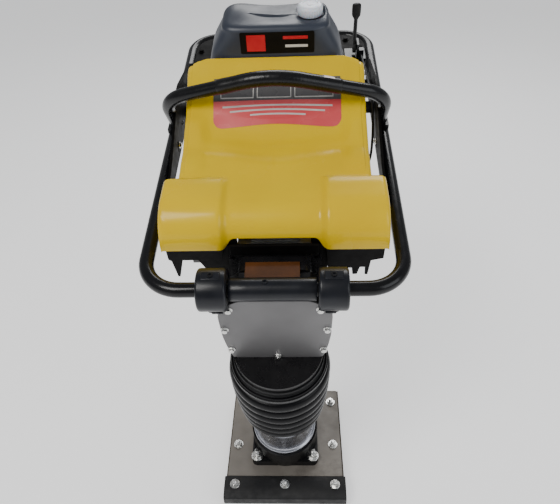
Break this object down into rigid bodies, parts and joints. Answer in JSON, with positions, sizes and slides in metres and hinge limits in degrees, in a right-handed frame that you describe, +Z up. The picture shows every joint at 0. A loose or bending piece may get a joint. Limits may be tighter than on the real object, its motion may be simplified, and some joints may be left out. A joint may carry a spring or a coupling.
{
  "type": "tamping rammer",
  "caption": "Upright petrol soil compactor: flat tamping shoe, bellows-covered spring leg, crank drive, covered engine, loop handle, lifting bar, fuel tank and throttle lever.",
  "frame": {"origin": "on the flat sole, where the leg's centre line meets the ground", "axes": "+Z up, the toe of the shoe and the crossbar towards -Y, the operator's grip towards +Y, the throttle lever on the +X side; the leg leans forward, towards -Y, by 13 degrees"},
  "size_m": [0.45, 0.8026, 1.0123],
  "materials": {
    "sole_steel": "worn black paint",
    "board": "dark laminated board",
    "plate_steel": "grey-brown primer",
    "zinc": "zinc plated",
    "cast_black": "black painted casting",
    "bright_steel": "turned and plated",
    "spring_steel": "oiled spring steel",
    "bronze": "bronze bush",
    "bellows_rubber": "semi-gloss black",
    "bush_rubber": "matt",
    "case_alloy": "cast",
    "cover_alloy": "silver-grey paint",
    "gear_steel": "oiled",
    "lining": "lined shoes",
    "frame_black": "gloss black powder coat",
    "drum_grey": "dark grey cast",
    "engine_alloy": "cast",
    "engine_black": "black pressed steel",
    "exhaust_steel": "heat stained",
    "plastic_black": "moulded",
    "switch_red": "moulded",
    "cowl_yellow": "moulded, glossy",
    "tank_plastic": "moulded, satin",
    "cap_white": "translucent white",
    "lever_black": "black lever, rubber knob",
    "hose_rubber": "matt hose"
  },
  "bodies": {
    "foot": {"sole_plate": "sole_steel", "foot_board": "board", "top_plate": "plate_steel", "shoe_bolts": "zinc", "foot_base": "cast_black", "base_studs": "zinc", "spring_cylinder": "bright_steel", "cylinder_collar": "bright_steel", "cylinder_cap": "bright_steel", "rod_bush": "bronze", "lower_springs": "spring_steel", "upper_springs": "spring_steel", "lower_clamp": "cast_black"},
    "spring_carrier": {"piston_rod": "gear_steel"},
    "machine": {"bellows": "bellows_rubber", "upper_clamp": "cast_black", "bellows_flange": "cast_black", "guide_cylinder": "bright_steel", "crankcase": "case_alloy", "crankcase_cover": "cover_alloy", "cover_screws": "zinc", "crank_bearings": "bright_steel", "isolator_drums": "drum_grey", "engine_block": "engine_alloy", "cylinder_head": "engine_alloy", "rocker_cover": "engine_black", "spark_plug": "bush_rubber", "muffler": "exhaust_steel", "muffler_guard": "engine_black", "carburettor": "engine_alloy", "air_cleaner": "plastic_black", "recoil_housing": "engine_black"},
    "crank": {"crank_gear": "gear_steel"},
    "rod": {"connecting_rod": "gear_steel", "wrist_pin": "gear_steel"},
    "pinion": {"pinion_shaft": "gear_steel", "clutch_drum": "gear_steel"},
    "engine_rotor": {"engine_crankshaft": "gear_steel", "clutch_shoes": "lining", "flywheel": "lining"},
    "starter_pulley": {"recoil_pulley": "engine_alloy"},
    "starter_grip": {"recoil_grip": "plastic_black"},
    "choke": {"choke_lever": "zinc"},
    "carburettor_arm": {"throttle_arm": "zinc"},
    "switch": {"stop_switch": "switch_red"},
    "handle": {"isolator_rubbers": "bush_rubber", "handle_frame": "frame_black", "centre_sleeve": "drum_grey", "side_plates": "frame_black", "lifting_hoop": "frame_black", "hoop_sleeve": "hose_rubber", "cowl": "cowl_yellow", "cowl_brackets": "frame_black", "fuel_tank": "tank_plastic", "throttle_bracket": "frame_black", "throttle_cable": "hose_rubber", "fuel_hose": "hose_rubber"},
    "throttle": {"throttle_lever": "lever_black"},
    "cap": {"filler_cap": "cap_white"},
    "tap": {"fuel_tap": "bronze"}
  },
  "joints": [
    {"name": "leg_stroke", "type": "slide", "parent": "foot", "child": "machine", "axis": [0, -0.225, 0.9744], "range_m": [0, 0.05], "deforming": ["bellows"]},
    {"name": "spring_travel", "type": "slide", "parent": "foot", "child": "spring_carrier", "axis": [0, -0.225, 0.9744], "range_m": [-0.01, 0.01], "stiffness_N_per_m": 60000, "deforming": ["lower_springs", "upper_springs"]},
    {"name": "crank_turn", "type": "hinge", "parent": "machine", "child": "crank", "pos_m": [0, -0.12732, 0.55149], "axis": [0, 0.9744, 0.225], "continuous": true},
    {"name": "rod_turn", "type": "hinge", "parent": "crank", "child": "rod", "pos_m": [0, -0.13137, 0.56903], "axis": [0, 0.9744, 0.225], "continuous": true},
    {"name": "pinion_turn", "type": "hinge", "parent": "machine", "child": "pinion", "pos_m": [0, -0.14352, 0.62165], "axis": [0, 0.9744, 0.225], "continuous": true},
    {"name": "engine_turn", "type": "hinge", "parent": "machine", "child": "engine_rotor", "pos_m": [0, -0.14352, 0.62165], "axis": [0, 0.9744, 0.225], "continuous": true},
    {"name": "starter_pull", "type": "slide", "parent": "machine", "child": "starter_grip", "axis": [0, 0.9744, 0.225], "range_m": [0, 0.5], "stiffness_N_per_m": 15, "springref_m": -0.3},
    {"name": "starter_pulley_turn", "type": "hinge", "parent": "machine", "child": "starter_pulley", "pos_m": [0, -0.14352, 0.62165], "axis": [0, 0.9744, 0.225], "range_deg": [0, 830]},
    {"name": "choke_turn", "type": "hinge", "parent": "machine", "child": "choke", "pos_m": [0.09, 0.02519, 0.72218], "axis": [0, 0.9744, 0.225], "range_deg": [-50, 0]},
    {"name": "carburettor_arm_turn", "type": "hinge", "parent": "machine", "child": "carburettor_arm", "pos_m": [0.088, -0.02151, 0.74218], "axis": [0, -0.225, 0.9744], "range_deg": [0, 60]},
    {"name": "stop_switch_press", "type": "slide", "parent": "machine", "child": "switch", "axis": [0, -0.9744, -0.225], "range_m": [0, 0.003], "stiffness_N_per_m": 900, "springref_m": -0.002},
    {"name": "handle_sway", "type": "hinge", "parent": "machine", "child": "handle", "pos_m": [0, -0.17126, 0.68401], "axis": [1, 0, 0], "range_deg": [-2, 2], "stiffness_Nm_per_rad": 9000, "deforming": ["throttle_cable", "fuel_hose"]},
    {"name": "throttle_turn", "type": "hinge", "parent": "handle", "child": "throttle", "pos_m": [0.172, 0.4743, 0.86178], "axis": [1, 0, 0], "range_deg": [-55, 0]},
    {"name": "cap_turn", "type": "hinge", "parent": "handle", "child": "cap", "pos_m": [0.067, 0.26254, 0.9966], "axis": [0, -0.225, 0.9744], "range_deg": [0, 90]},
    {"name": "tap_turn", "type": "hinge", "parent": "handle", "child": "tap", "pos_m": [0.071, 0.32477, 0.81597], "axis": [1, 0, 0], "range_deg": [0, 90]}
  ],
  "couplings": [
    {"joint": "rod_turn", "follows": "crank_turn", "ratio": -1},
    {"joint": "pinion_turn", "follows": "crank_turn", "ratio": -5},
    {"joint": "starter_pulley_turn", "follows": "starter_pull", "rad_per_m": 28.571},
    {"joint": "carburettor_arm_turn", "follows": "throttle_turn", "ratio": -1}
  ]
}
